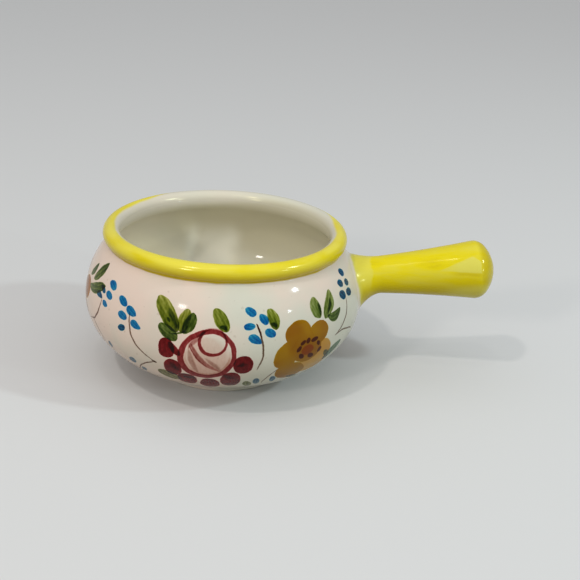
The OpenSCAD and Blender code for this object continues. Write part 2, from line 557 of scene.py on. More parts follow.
LEAVES = [
    stroke((-27, 20.8), (-16.9, 6.6), 3.7, OLIVE, bend=0.4, fade=0.3, side=-0.25),
    stroke((-21.8, 16.6), (-16.8, 7.2), 1.7, OLIVE, bend=0.5, point=0.7, edge=0.9),
    dab((-20.9, 11.4), 1.2, 0.8, -60, OLIVE_DEEP, edge=0.6),
    stroke((-13.4, 17.4), (-15.3, 6.2), 2.7, OLIVE, bend=-0.1, fade=0.25, side=0.2),
    stroke((-11, 16), (-14.6, 5.8), 2.5, OLIVE_DEEP, bend=0.7, point=0.55, side=0.25, fade=-0.1),
    stroke((-24.4, 8.9), (-16.8, 2.8), 3, OLIVE_DEEP, bend=-0.2, fade=0.15, side=-0.2),
    stroke((-19.6, 5.2), (-12.6, 7), 0.6, OLIVE_DEEP, point=0.6),
    stroke((-3, 18.6), (2.2, 8.2), 3, OLIVE, bend=0.15, fade=0.2, side=0.1),
    stroke((-0.9, 10.6), (2.4, 9), 1.3, OLIVE_DEEP, bend=0.5, point=0.6, edge=0.7),
    stroke((-27.4, -18.2), (-17.4, -23.4), 4.4, MOSS, fade=-0.1),
    stroke((18.6, 17.9), (21.6, 8.3), 2.5, OLIVE, bend=0.6, fade=0.3, side=-0.2),
    stroke((19.4, 11.6), (21.8, 9.2), 1.2, OLIVE_DEEP, bend=0.4, point=0.6, edge=0.7),
    stroke((39.6, 19.3), (42.2, 9.4), 2.9, SAGE, bend=-0.7, fade=0.2, side=0.2),
    stroke((41.6, 16.6), (42.6, 10), 1.1, OLIVE_DEEP, bend=0.3, point=0.6, edge=0.7),
    stroke((50.4, 20.2), (45, 8), 3.1, SAGE, bend=0.9, point=0.55, fade=0.15, side=-0.1),
    stroke((49.8, 16.8), (46.6, 9.4), 1.2, OLIVE_DEEP, bend=0.5, point=0.7, edge=0.7),
    stroke((46.4, 8.6), (55.2, 9.8), 2.5, OLIVE_DEEP, bend=-2, point=0.6, fade=0.1),
    stroke((48.8, -16.2), (57.6, -7.6), 3.4, PINE, bend=0.8, point=0.55, fade=-0.1),
    stroke((46.2, -8.6), (50.4, -13), 1.6, PINE, point=0.6, fade=0.1),
    stroke((11.4, -21.2), (13.8, -29.4), 2.2, MOSS, point=0.6),
    stroke((30.6, -22.4), (38.4, -25.4), 1.6, MOSS, point=0.6),
    stroke((-61.8, 25), (-69.4, 14), 2.8, OLIVE_DEEP, bend=0.9, point=0.6, fade=-0.25),
    stroke((-71, 21.2), (-75, 13.4), 2.3, OLIVE_DEEP, bend=0.6, point=0.6, fade=-0.2),
    stroke((-71.8, 9.8), (-56.6, 15.6), 2.9, OLIVE_DEEP, bend=-1.2, point=0.7, fade=0.2),
]

SPRAYS = dabs(
    BLUE,
    (11.2, 17.2, 2.7, 1.9, -32, 0.15, 0.25), (16.6, 13.4, 2.9, 1.9, -58, 0, 0.2),
    (10.7, 10.8, 2.3, 1.8, -5, 0, -0.3), (13, 4.5, 3.3, 2.1, -38, -0.2, 0.25),
    (18.9, 7.2, 2.5, 1.9, -38, 0, 0.2), (-43.3, 13.2, 2.9, 2.1, -28, 0, 0.1),
    (-38, 10.2, 3.2, 2.1, -20, -0.25, -0.1), (-42.3, 7, 2.7, 1.9, -15, -0.1),
    (-35.2, 5, 3, 1.8, -18, -0.3), (-51.9, 17.7, 3, 2, -22, 0, -0.2),
    (-52.5, 12.7, 2.6, 1.9, -15), (-54.1, 8, 2.3, 1.5, -15, -0.2),
) + dabs(
    BLUE_DEEP,
    (-42.3, 1.3, 2.4, 1.6, 24, 0, 0.1), (-57.6, 13.7, 2.3, 1.5, -25),
    (-59.4, 10.1, 2.6, 1.5, -8, -0.2), (65.3, 23.7, 2.4, 2.1, -20, 0, -0.1),
    (60.4, 19.9, 2.5, 1.9, -25), (66, 18.4, 2, 1.8, -20), (59.3, 14.6, 3, 2.3, -35, 0, -0.1),
    (65.2, 13.9, 2.6, 2, -25),
) + dabs(
    SLATE,
    (16.4, -22.6, 3.9, 1.8, -75, 0, -0.2), (24, -22.4, 3.9, 1.6, -72, 0, -0.2),
    (-40.6, -17, 3, 2, 50), (-37, -22.8, 3, 1.6, 50), (-53.3, -13, 2.6, 1.5, 70),
)

STEMS = [
    stroke((13.2, 12), (14.5, -11.9), 0.5, STEM, bend=2.5, point=0.25, fade=-0.2),
    stroke((13.1, 12), (15.6, 5.4), 0.5, BARK, bend=0.3, point=0.4, fade=-0.4),
    stroke((23.8, -12.8), (19.6, -26), 0.42, STEM, bend=-1.3, point=0.3),
    stroke((-38.8, 9.8), (-26.8, -11.8), 0.5, STEM, bend=-3.7, point=0.22, fade=0.1),
    stroke((-28.8, -11.2), (-26.2, -11.9), 0.75, STEM),
    stroke((-27.2, -11.7), (-40.6, -24.4), 0.5, STEM, bend=-1.5, point=0.3, fade=-0.2),
    stroke((-57.1, 10.2), (-69.5, -5.6), 0.5, STEM, bend=4, point=0.25, fade=-0.2),
    stroke((-64.6, -2.6), (-56.8, -13.5), 0.42, STEM, bend=0.6, point=0.3, fade=-0.2),
    stroke((61.4, 12.4), (51.9, -2.4), 0.5, STEM, bend=2.6, point=0.25),
    stroke((51.2, -2.6), (67, -5.4), 0.5, STEM, bend=2, point=0.3, fade=-0.2),
]

BERRIES = [
    stroke((-20.9, 2.8), (-21.3, -7), 3.7, BERRY, point=0.4, fade=-0.1),
    stroke((-20, 1.4), (-15.7, -4.9), 1.8, BERRY, edge=0.5, fade=0.1),
    stroke((-18.7, -7.4), (-20.1, -19), 4.1, BERRY, point=0.4),
    stroke((-13.5, -16.2), (-15.5, -28), 4.6, BERRY, point=0.4, fade=-0.25),
    stroke((-4.2, -18.7), (-4.8, -31.5), 4.8, BERRY, point=0.4, fade=-0.25),
    stroke((4.2, -12.7), (4.8, -27), 4.7, BERRY, point=0.4),
    stroke((8.3, -3.1), (9.2, -13.7), 4.2, BERRY, point=0.4),
    dab((-18.6, -12), 3.4, 2.2, -60, BERRY_DARK, edge=1.9),
    dab((8, -8), 2.1, 1.7, 20, BERRY_DARK, edge=1.3),
    dab((3.4, -16.6), 3.8, 2.2, -30, BERRY_DARK, edge=2.2),
    dab((-12.8, -19.4), 3.4, 1.9, 0, BERRY_DARK, edge=1.9),
]

ROSE_FILL = [
    stroke((-5.2, 6), (-4.6, -16.6), 9.8, BLUSH, fade=0.5, edge=3),
    stroke((-12.2, -0.4), (-8.8, -14.4), 1.5, TAUPE, bend=-0.6, point=0.6, edge=0.8),
    stroke((-10.5, -14.2), (1.6, -13.2), 1.2, BLUSH, bend=-1.2, point=0.7, edge=1),
    stroke((3.2, -3), (0.8, -11.6), 1.1, BLUSH, bend=0.8, point=0.7, edge=1),
    stroke((-11.3, 2.2), (0.4, -12), 1.25, MAUVE, bend=-2, point=0.4, fade=-0.2, edge=0.6),
    stroke((-12, 2), (-2.6, -11.2), 0.5, WINE, bend=-1.7, point=0.4, fade=-0.45, edge=0.6),
    stroke((-6.2, -4.2), (0.4, -11.6), 1.3, TAUPE, bend=0.5, point=0.6, fade=0.3, edge=0.8),
    stroke((-5.9, 8.3), (-12.4, -0.8), 1.1, MAUVE, bend=-0.5, fade=-0.2, edge=0.6),
]

RINGS = [
    hoop((-5.2, -4.2), 10.6, 12.3, 1.36, (-0.016, -0.02), CRIMSON, skew=0.13),
    hoop((-3.1, 3.4), 5.4, 6.1, 0.68, (-0.03, -0.02), CRIMSON, kept=(0, -0.5, 3.2)),
    hoop((-5.2, -4.2), 9, 10.8, 0.8, (-0.02, -0.03), BLUSH, kept=(0, -0.2, 0.8), skew=0.13),
]

PETALS = dabs(
    OCHRE,
    (31.2, 4.8, 6.4, 6.2, 20), (41.1, 2.7, 5.9, 5.5, 70), (26.6, -5.4, 7.4, 6, 75),
    (30.8, -17.2, 8.6, 6.6, -34), (36, -4.6, 7.4, 7, 0),
)

PALE_PETALS = dabs(SIENNA, (42, -14.4, 9.6, 7.6, -14), (45.8, -7.2, 6.6, 4.2, -60))

FLOWER_MARKS = dabs(RUST, (36, -4.6, 3.2, 3, 0, 0, 0.1), edge=0.7) + dabs(
    UMBER,
    (31.7, -3.3, 1.7, 1.2, 60), (33.4, -0.4, 1.6, 1.15, 40), (35.8, 0.1, 1.5, 1.15, 80),
    (38.9, -0.1, 1.9, 1.3, 10), (41.2, -2.6, 1.5, 0.95, -60), (42.4, -6.4, 1.7, 1.2, 60),
    (33.4, -7.5, 1.8, 1.3, -50), (38.1, -8.2, 1.9, 1.4, -30),
) + dabs(AMBER, (29.4, -0.4, 4.4, 0.5, 55), (36.8, 5, 3.8, 0.5, -66), edge=0.9)

SIDE_PETALS = dabs(
    OCHRE,
    (-76.8, 6.6, 7, 5.6, 20), (-90, 12.6, 6.4, 5.8, 90), (-78.4, -4.6, 7, 5.8, -35),
    (-90, -9.6, 6.6, 6, 90), (-86, 1.2, 8.4, 7.6, 0),
)

SIDE_MARKS = dabs(RUST, (-90, 1.4, 4.6, 4.2, 0), edge=0.7) + dabs(
    UMBER,
    (-86, 5.2, 1.5, 1, 40), (-84.6, 1.2, 1.5, 1, 90), (-86.2, -3.2, 1.5, 1, -40),
    (-90, 6.6, 1.6, 1, 0), (-90, -4.6, 1.6, 1, 0),
)


# The wall's paint is made in upright stretches, because one material can't hold all the strokes. Each has
# the strokes that reach into it, with some degrees to spare
STRETCHES = (-90.0, -48.5, -31.0, 7.0, 23.5, 51.0, 90.0)
SPARE = 3.0
BACK_SPREAD = 0.13


def stretch_of(turn):
    """Which stretch a place around the wall is in; the back repeats the front, spread a little."""
    x, y = math.cos(turn), math.sin(turn)
    deep = abs(y) * (1 + BACK_SPREAD * (y > 0))
    az = math.degrees(math.atan2(x, deep))
    return sum(az >= start for start in STRETCHES[1:-1])


def wavering(place, spot, scale, reach):
    """A spot on the map, moved about by noise as far as half the reach."""
    sway = vector("SUBTRACT", noise(place, scale, 1, colour=True), (0.5, 0.5, 0.5))
    return vector("MULTIPLY_ADD", sway, (reach, reach, 0), spot)


def paint_map(place, x, y, z):
    """Where a point of the outer wall lies on the map, wavering a little as a hand does."""
    back = maths("GREATER_THAN", y, 0)
    deep = times(maths("ABSOLUTE", y), times_plus(back, BACK_SPREAD, 1))
    around = maths("ARCTAN2", x, deep)
    # The way up the wall runs over its three curves, each turning by the arc sine of the height
    high = minus(z, BELLY_Z)
    share = math.sin(math.radians(FLANK_ANGLE))
    top = maths("ARCSINE", times(high, 1 / SHOULDER_R, clamp=True))
    middle = maths("MINIMUM", times(high, -1 / FLANK_R, clamp=True), share)
    low = times_plus(high, -1 / BASE_R, (BASE_C[1] - BELLY_Z) / BASE_R, clamp=True)
    up = times(top, SHOULDER_R)
    up = times_plus(maths("ARCSINE", middle), -FLANK_R, up)
    up = times_plus(maths("ARCSINE", larger(low, share)), -BASE_R, up)
    up = plus(up, BASE_R * math.radians(FLANK_ANGLE))
    flat = joined(times(around, MAP_R), up, 1)
    flat = wavering(place, flat, 130, 1.3)
    return wavering(place, flat, 900, 0.34)


def lay(group, spot, under, values):
    """One stroke or ring, over the paint that is already there."""
    node = beside((spot,), "Group")
    node.node_tree = group
    fill(node, {"Spot": spot, **values})
    if under is not None:
        feed(node.inputs["Under"], under)
    return node.outputs


def wash(group, spot, under, touches, ink, strength, over):
    """Petals that run into one another: the deepest of them counts, not their sum."""
    deepest = None
    for values in touches:
        amount = lay(group, spot, None, values)["Amount"]
        deepest = amount if deepest is None else larger(deepest, amount)
    shown = minus(deepest, over, clamp=True)
    return vector("MULTIPLY_ADD", ink, times(shown, strength), under), shown


def through(colour, load):
    """The glaze's colour seen through a load of paint."""
    shown = [maths("EXPONENT", times(part, -1)) for part in parts_of(load)]
    return vector("MULTIPLY", colour, joined(*shown))


def painted_glaze(brush, leaf, ring, low, high):
    """The glaze of one upright stretch of the wall, with the strokes that reach into it."""
    kind, tree = fresh("painted_glaze")
    place, (x, y, z) = surface(tree)
    spot = paint_map(place, x, y, z)

    def here(touches):
        return [values for (start, end), values in touches if end > low - SPARE and start < high + SPARE]

    def laid(group, touches, load):
        for values in here(touches):
            load = lay(group, spot, load, values)["Over"]
        return load

    load = vector("MULTIPLY", spot, (0, 0, 0))
    for group, touches in ((leaf, LEAVES + SPRAYS), (brush, ROSE_FILL + BERRIES + STEMS), (ring, RINGS)):
        load = laid(group, touches, load)
    streaks = noise(spot, (0.9, 0.35, 0), 3)
    load = vector("MULTIPLY", load, ramp(streaks, 0.25, 0.75, 0.74, 1.28, smooth=False))
    depth = ramp(noise(place, 75, 1), 0.3, 0.7, 0.86, 1.14)
    covered = 0.0
    for petals, ink in ((PETALS, OCHRE), (PALE_PETALS, SIENNA), (SIDE_PETALS, OCHRE)):
        if here(petals):
            load, covered = wash(brush, spot, load, here(petals), ink, depth, covered)
    load = laid(brush, FLOWER_MARKS + SIDE_MARKS, load)
    colour = through(cream(place), load)
    # The rim's yellow runs a little way out of the crease
    edge = times_plus(noise(place, 90), 1.1, CREASE_Z - 0.4)
    colour = blend(ramp(z, edge, plus(edge, 0.6)), colour, YELLOW_DEEP)
    glaze_shader(place, colour, (0.06, 0.12), shine=SHINE_PAINTED)
    return kind


def plain_glaze():
    """The glaze inside, with painted light and shade: paler and warmer low down where light falls,
    olive-grey painted shade under the shoulder, and a pale patch of painted light down the back.
    """
    kind, tree = fresh("plain_glaze")
    place, (x, y, z) = surface(tree)
    high = plus(z, times_plus(noise(place, 22), 12, -6))
    # The painted light low down climbs highest on the side away from the handle, where more light falls
    painted_low_light = plus(high, ramp(x, -48, -20, -14, 0))
    painted_low_light = times(ramp(painted_low_light, 30, 46, 0.75, 0), ramp(x, 0, 12, 1, 0.05))
    colour = blend(painted_low_light, lip_cream(place), PAINTED_LIGHT_WARM)
    # Painted shade under the shoulder and neck, olive-grey: it starts lower and ends higher on the handle's
    # side
    above = plus(high, ramp(x, 0, 20, 0, 13))
    neck = minus(z, ramp(x, -10, 20, 0, 2.5))
    tone_shift = times(ramp(above, 36, 56), ramp(neck, 65.5, 69.8, 1, 0), ramp(x, -48, -18, 0.1, 1))
    colour = blend(tone_shift, colour, PAINTED_SHADE_CREAM)
    # One pale patch of painted light down the back
    bent = times_plus(noise(place, 45), 10, minus(x, 5))
    painted_light_patch = times(ramp(bent, -25, -16.5), ramp(bent, 0, 9.5, 1, 0), ramp(y, 12, 42),
                ramp(high, 44, 58, 0.95, 0))
    colour = blend(painted_light_patch, colour, PAINTED_LIGHT_CREAM)
    # The glaze thickens down the wall, so its surface looks up a little more than the clay does
    down = minus(46, z)
    eased = maths("SQRT", times_plus(down, down, 64))
    lean = times(plus(down, eased), 0.15 * MM)
    glaze_shader(place, colour, (0.05, 0.10), lean=lean)
    return kind


def rim_glaze():
    """Yellow brushed over the cream rim, from the crease to just past the crest."""
    kind, tree = fresh("rim_glaze")
    place, (x, y, z) = surface(tree)
    roll_x, roll_z = ROLL_C
    round_bead = maths("ARCTAN2", minus(z, roll_z), minus(length(x, y), roll_x))
    around = maths("ARCTAN2", x, y)
    # The brushed edge lies past the crest at the front and below it at the back, and the low part reaches
    # further round towards the handle. The roll's inner underside has no yellow
    away = minus(maths("ABSOLUTE", around), ramp(around, 0.2, 0.9, 0, 0.62))
    limit = ramp(away, *map(math.radians, (24, 52, 70, 112)))
    limit = minus(times_plus(noise(place, (60, 60, 160), 3), 0.34, limit), 0.17)
    cover = ramp(round_bead, minus(limit, 0.14), plus(limit, 0.30), 1, 0)
    cover = times(cover, maths("GREATER_THAN", round_bead, -1.75))
    tone_shift = ramp(noise(place, (45, 45, 240), 3), 0.32, 0.66)
    # Painted highlights, as paler places on the crest: on the left, in the middle of the front and near the
    # handle
    crest = ramp(apart(round_bead, 1.2), 0.2, 0.7, 1, 0)
    for az in (-72, -2, 62):
        turn = math.radians(az)
        off = plus(apart(x, roll_x * math.sin(turn)), apart(y, -roll_x * math.cos(turn)))
        tone_shift = larger(tone_shift, times(crest, ramp(off, 5, 17, 1, 0)))
    yellow = blend(tone_shift, YELLOW, YELLOW_THIN_AND_HIGHLIGHT)
    # Painted shade: deeper yellow on the roll's underside, which faces down
    yellow = blend(ramp(round_bead, -0.9, 0.7), YELLOW_DEEP, yellow)
    # Painted shade on the inner face of the roll, on the handle's side
    inner = times(ramp(round_bead, 1.9, 2.9, 0, 0.8), ramp(x, 0, 30))
    lip = blend(inner, lip_cream(place), PAINTED_SHADE_CREAM)
    colour = blend(cover, lip, yellow)
    glaze_shader(place, colour, (0.15, 0.22), RELIEF_RIM, 0.6, SHINE_RIM, YELLOW_SHINE)
    return kind


def lemon_glaze(place, s, v):
    """Bright yellow brushed along the handle: thinner in streaks, deeper at the tip, and painted shade
    underneath.
    """
    streak = noise(place, (28, 150, 150), 4, 0.6)
    colour = blend(ramp(streak, 0.42, 0.72, 0, 0.4), LEMON, LEMON_THIN)
    # Deeper in some streaks, and painted shade underneath the handle
    deep = larger(ramp(streak, 0.22, 0.46, 0.5, 0), ramp(v, -9, 5, 0.6, 0))
    deep = larger(deep, ramp(s, 56, 59, 0, 0.5))
    return blend(deep, colour, LEMON_DEEP)


def collar_touches(place, parts, s, v, waver, colour):
    """On the collar: pale where the brushed grip meets the flare, painted shade on its lower part, and a
    cream fringe along the wall.
    """
    x, y, z = parts
    start = times_plus(noise(place, (60, 260, 260)), 4, s)
    pale = times(ramp(start, 6.2, 7.8, 0.62, 0), ramp(v, -4, 2, 0.15, 1))
    colour = blend(pale, colour, LEMON_THIN)
    # Painted shade: deeper yellow on the collar's lower part
    colour = blend(ramp(v, -13, -6, 0.5, 0), colour, LEMON_DEEP)
    # How far this place is from the bowl's outer face, found from the shoulder's arc
    gap = length(minus(length(x, y), SHOULDER_C[0]), minus(z, BELLY_Z))
    gap = times_plus(waver, 0.5, minus(gap, SHOULDER_R))
    colour = blend(ramp(gap, 0.7, 2.6, 0.8, 0), colour, LEMON_THIN)
    return blend(ramp(gap, 0.2, 1.3, 1, 0), colour, CREAM_MEAN)


# The dry patch on the grip: which way it faces, as shares of ahead and up, and where along the axis it
# starts, is tallest and ends
PATCH_WAY = (0.93, 0.37)
PATCH_FROM, PATCH_TALL, PATCH_TO = 35.5, 53.0, 58.0


def grip_touches(s, v, side, waver, colour):
    """On the grip: a dry patch on the front near the end, its lower edge darker, and a pale underside."""
    # The patch faces a little above the front: ahead is towards it, and rise goes up across it
    ahead = times_plus(side, -PATCH_WAY[0], times(v, PATCH_WAY[1]))
    rise = times_plus(side, PATCH_WAY[1], times(v, PATCH_WAY[0]))
    rise = times_plus(waver, 0.35, rise)
    facing_front = ramp(ahead, 1, 3)
    far = times_plus(waver, 0.5, s)
    above = plus(ramp(far, PATCH_FROM, PATCH_TALL, -0.3, 6.4, smooth=False), ramp(far, 53.5, 58.5, 0, -3.4))
    below = ramp(far, PATCH_FROM, PATCH_TO, -0.3, -2.8, smooth=False)
    patch = times(ramp(minus(above, rise), 0, 0.9), ramp(minus(rise, below), 0, 0.9),
                  ramp(far, PATCH_FROM, 49, 0.4, 0.92), ramp(far, 56.8, 57.8, 1, 0), facing_front)
    colour = blend(patch, colour, LEMON_THIN)
    off = apart(rise, minus(below, 0.4))
    drawn = times(ramp(off, 0.2, 1.4, 0.34, 0), ramp(far, 41, 48), ramp(far, 56, 58.5, 1, 0),
                  facing_front)
    colour = blend(drawn, colour, LEMON_DEEP)
    low = times(ramp(rise, -10.5, -6.5, 0.65, 0), ramp(far, 34, 50))
    return blend(low, colour, LEMON_THIN)


def handle_glaze(name, on_collar):
    """The yellow glaze of the collar or of the grip, by s along the handle's axis and v up from it."""
    kind, tree = fresh(name)
    place, (x, y, z) = surface(tree)
    from_root = minus(x, AXIS_FROM[0])
    lifted = minus(z, AXIS_FROM[2])
    s, v = (times_plus(from_root, way[0], times(lifted, way[2])) for way in (ALONG, UP))
    colour = lemon_glaze(place, s, v)
    waver = times_plus(noise(place, 120), 3, -1.5)
    if on_collar:
        colour = collar_touches(place, (x, y, z), s, v, waver, colour)
    else:
        colour = grip_touches(s, v, y, waver, colour)
    glaze_shader(place, colour, (0.12, 0.20), RELIEF_HANDLE, 0.6, SHINE_HANDLE, YELLOW_SHINE)
    return kind


def foot_clay():
    """Glaze that stops short of the table, and the bare, slightly gritty clay below it."""
    kind, tree = fresh("foot_clay")
    place, (_, _, z) = surface(tree)
    edge = times_plus(noise(place, 110), 0.5, -0.2)
    bare = ramp(z, edge, plus(edge, 0.3), 1, 0)
    grit = noise(place, 900, 4, 0.7)
    clay = blend(ramp(grit, 0.4, 0.68), CLAY, CLAY_DARK)
    colour = blend(bare, cream(place), clay)
    height = times_plus(times(grit, bare), 0.5, glaze_relief(place))
    glaze_shader(place, colour, times_plus(bare, 0.7, 0.1), height=height)
    return kind


# Bowl

# Columns of the turned pieces
BOWL_SIDES = 288
FOOT_SIDES = 240
# Radii of the rings that close the floor and the base in to the middle
FLOOR_RINGS = (25.0, 20.0, 13.0, 6.0, 0.6)
# The wall's top, hidden in the roll: steps out and up from the throat beside the roll's centre, and its
# outermost radius; and how far, in millimetres and degrees, the crease's glaze runs on into the roll
TOP_STEPS = ((0.0, -0.2), (0.0, 0.1), (0.4, 0.7), (1.8, 0.8))
TOP_R = 54.6
TUCK = 0.25
TUCK_TURN = 12
# The foot's section: steps out from its inner side with heights, heights up its leaning outer side, radii on
# the table, and steps out from its outer side with heights, where the glaze ends in a soft roll
FOOT_INSIDE = ((0.8, 5.9), (0.02, 5.3), (0.0, 4.7), (0.0, 3.6), (0.0, 2.4))
FOOT_UPRIGHT = (2.4, 3.6)
FOOT_TABLE = (29.7, 30.6)
FOOT_GLAZE = ((0.0, 4.7), (0.25, 5.15), (0.9, 5.55), (0.4, 5.95), (-2.0, 6.2))


def wall():
    """The thrown body: floor, belly, shoulder and neck, painted outside and plain inside."""
    floor_z = FOOT_H + WALL
    inside = [(r, floor_z) for r in FLOOR_RINGS[::-1]]
    inside += arc(BASE_C, BASE_R - WALL, -90, -FLANK_ANGLE, 18)
    inside += arc(FLANK_C, FLANK_R - WALL, -FLANK_ANGLE, 0, 10)[1:]
    inside += arc(SHOULDER_C, SHOULDER_R - WALL, 0, EASE_TURN, 16)[1:]
    inside += arc(EASE_C, THROAT_GLAZE, EASE_TURN + 180, 180, 10)[1:]
    top = [(THROAT_R + out, ROLL_C[1] + up) for out, up in TOP_STEPS] + [(TOP_R, ROLL_C[1])]
    tucked = CREASE_HIGH + 180 + TUCK_TURN
    outside = arc(CREASE, CREASE_FILL + TUCK, tucked, tucked, 1)
    outside += arc(CREASE, CREASE_FILL, CREASE_HIGH + 180, CREASE_LOW + 180, 8)
    outside += arc(SHOULDER_C, SHOULDER_R, CREASE_LOW, 0, 26)[1:]
    outside += arc(FLANK_C, FLANK_R, 0, -FLANK_ANGLE, 12)[1:]
    outside += arc(BASE_C, BASE_R, -FLANK_ANGLE, -90, 22)[1:]
    outside += [(r, FOOT_H) for r in FLOOR_RINGS]
    rows = turned((inside + top + outside)[::-1], BOWL_SIDES)
    start, end = (thrown(np.array((0.0, 0.0, z))) for z in (FOOT_H, floor_z))
    brush, leaf, ring = brush_group(), brush_group(bristles=True), ring_group()
    painted = [painted_glaze(brush, leaf, ring, *span) for span in zip(STRETCHES, STRETCHES[1:])]
    # The rows run from the base up the outside, and the paint stops on the hidden top
    edge = len(outside) + 1

    def finish_of(row, column):
        if row >= edge:
            return len(painted)
        return stretch_of(2 * math.pi * (column + 0.5) / BOWL_SIDES)

    skin("bowl_wall", "bowl_body", (*painted, plain_glaze()), rows, facing(rows), start, end,
         bands=finish_of)


def rim():
    """The rolled rim, a ring with a round section."""
    rows = turned(arc(ROLL_C, ROLL_R, 0, 360, 73)[:-1], BOWL_SIDES)
    normals = facing(np.concatenate((rows[-2:], rows, rows[:2])))[2:-2]
    skin("rim_glaze_roll", "rim_roll", (rim_glaze(),), rows, normals, ring=True)


def foot():
    """The turned foot ring, with the edge of the glaze above it."""
    inner = FOOT_OUT - FOOT_W
    table_r = FOOT_OUT - FOOT_LEAN
    lean = FOOT_LEAN / FOOT_H
    profile = [(inner + out, up) for out, up in FOOT_INSIDE]
    profile += arc((inner + FOOT_ROUND, FOOT_ROUND), FOOT_ROUND, 180, 270, 7)
    profile += [(r, 0.0) for r in FOOT_TABLE]
    profile += arc((table_r - FOOT_ROUND, FOOT_ROUND), FOOT_ROUND, 270, 360, 7)
    profile += [(table_r + lean * up, up) for up in FOOT_UPRIGHT]
    profile += [(FOOT_OUT + out, up) for out, up in FOOT_GLAZE]
    rows = turned(profile, FOOT_SIDES)
    skin("foot_ring_clay", "foot_ring", (foot_clay(),), rows, facing(rows), ring=True)


# Handle

# Where the grip's skin starts inside the collar, the angle on its crown where it ends, and its columns
# besides those at the vent
GRIP_FROM = 8.6
CROWN_END = 89.2
GRIP_SIDES = 96
# The grid at the vent: rings by their distance from its middle, and how deep the skin dips at each
VENT_RINGS = ((0.35, 6.0), (0.8, 6.0), (1.15, 6.0), (1.32, 6.0), (1.42, 2.6), (1.5, 0.7), (1.6, 0.22),
              (1.75, 0.05), (2.0, 0.0), (2.4, 0.0), (3.0, 0.0))
# How far beyond the vent the even grid starts, along in millimetres and around in radians
VENT_SPACE = 4.0
VENT_TURN = 0.06
# The collar: its columns, where along the axis its touching line with the bowl is looked for, how far its
# skin runs on into the grip, and how far the glaze spreads that rounds its corner with the bowl
COLLAR_SIDES = 128
TOUCH_FROM, TOUCH_TO, HALVINGS = -9.0, 8.0, 40
COLLAR_LAPS = (0.6, 0.3)
CORNER_GLAZE = 1.5
# Its hidden edge: steps further along the bowl, and how deep each is sunk
SUNK_STEPS = ((0.3, 0.02), (0.1, 0.7))
COLLAR_END = 2.5


def on_axis(s, radius, turn, drop=0.0):
    """A point of the handle: s along it, radius and turn around it, drop below it."""
    s, radius, turn, drop = np.broadcast_arrays(s, radius, turn, drop)
    return (AXIS_FROM + s[..., None] * ALONG
            + (radius * np.cos(turn))[..., None] * ACROSS
            + (radius * np.sin(turn) - drop)[..., None] * UP)


def grip_radius(s):
    """The handle's outline up to the round of its end."""
    if s < ROOT_S:
        return ROOT_R - ROOT_SLOPE * (ROOT_S - s)
    return SWEEP_C[0] - math.sqrt(SWEEP_R ** 2 - (s - SWEEP_C[1]) ** 2)


def grip():
    """The handle, with the vent of its hollow underneath, near the bowl."""
    steps, dips = np.array(VENT_RINGS).T
    near = np.concatenate((-steps[::-1], (0.0,), steps))
    reach = grip_radius(VENT_S)
    first = math.atan2(EDGE_C[1] - SWEEP_C[1], EDGE_C[0] - SWEEP_C[0]) - math.pi
    last = math.atan2(EDGE_C[1] - CROWN_S, EDGE_C[0])
    along = np.concatenate((np.linspace(GRIP_FROM, VENT_S - VENT_SPACE, 5), VENT_S + near,
                            np.linspace(VENT_S + VENT_SPACE, EDGE_C[1] + EDGE_R * math.sin(first), 44)))
    bend = np.linspace(first, last, 26)[1:]
    fall = np.linspace(last, math.radians(CROWN_END), 16)[1:]
    rows_s = np.concatenate((along, EDGE_C[1] + EDGE_R * np.sin(bend), CROWN_S + CROWN_R * np.sin(fall)))
    rows_r = np.concatenate(([grip_radius(s) for s in along],
                             EDGE_C[0] + EDGE_R * np.cos(bend), CROWN_R * np.cos(fall)))
    wide = near / reach
    rest = np.linspace(wide[-1] + VENT_TURN, 2 * math.pi + wide[0] - VENT_TURN, GRIP_SIDES)
    turn = np.concatenate((wide, rest)) - math.pi / 2
    s_grid, turn_grid = np.meshgrid(rows_s, turn, indexing="ij")
    r_grid = np.repeat(rows_r[:, None], len(turn), axis=1)
    # Near the vent the grid's squares are pulled into circles, and the inner ones pushed in
    a = s_grid - VENT_S
    b = np.angle(np.exp(1j * (turn_grid + math.pi / 2))) * reach
    square = np.maximum(np.abs(a), np.abs(b))
    far = np.hypot(a, b)
    inside = (square <= steps[-1] + 1e-6) & (far > 1e-9)
    pull = np.clip((steps[-1] - square) / (steps[-1] - VENT_R * 1.1), 0, 1)
    wanted = far + (square - far) * pull
    factor = np.where(inside, wanted / np.maximum(far, 1e-9), 1.0)
    s_grid = np.where(inside, VENT_S + a * factor, s_grid)
    turn_grid = np.where(inside, b * factor / reach - math.pi / 2, turn_grid)
    r_grid = r_grid - np.where(inside | (far <= 1e-9), np.interp(square, steps, dips), 0)
    rows = thrown(on_axis(s_grid, r_grid, turn_grid))
    root, tip = (thrown(AXIS_FROM + s * ALONG) for s in (GRIP_FROM, HANDLE_LEN))
    skin("handle_grip", "handle", (handle_glaze("grip_glaze", False),), rows, facing(rows),
         root, tip)


def wall_side(points):
    """Distance outside the bowl's outer face, and the way straight out of it."""
    out = np.hypot(points[..., 0], points[..., 1])
    high = points[..., 2] - BELLY_Z
    centre = np.where(high >= 0, SHOULDER_C[0], FLANK_C[0])
    size = np.where(high >= 0, SHOULDER_R, FLANK_R)
    reach = np.hypot(out - centre, high)
    level = (out - centre) / reach
    way = np.stack((level * points[..., 0] / out, level * points[..., 1] / out, high / reach), axis=-1)
    return reach - size, way


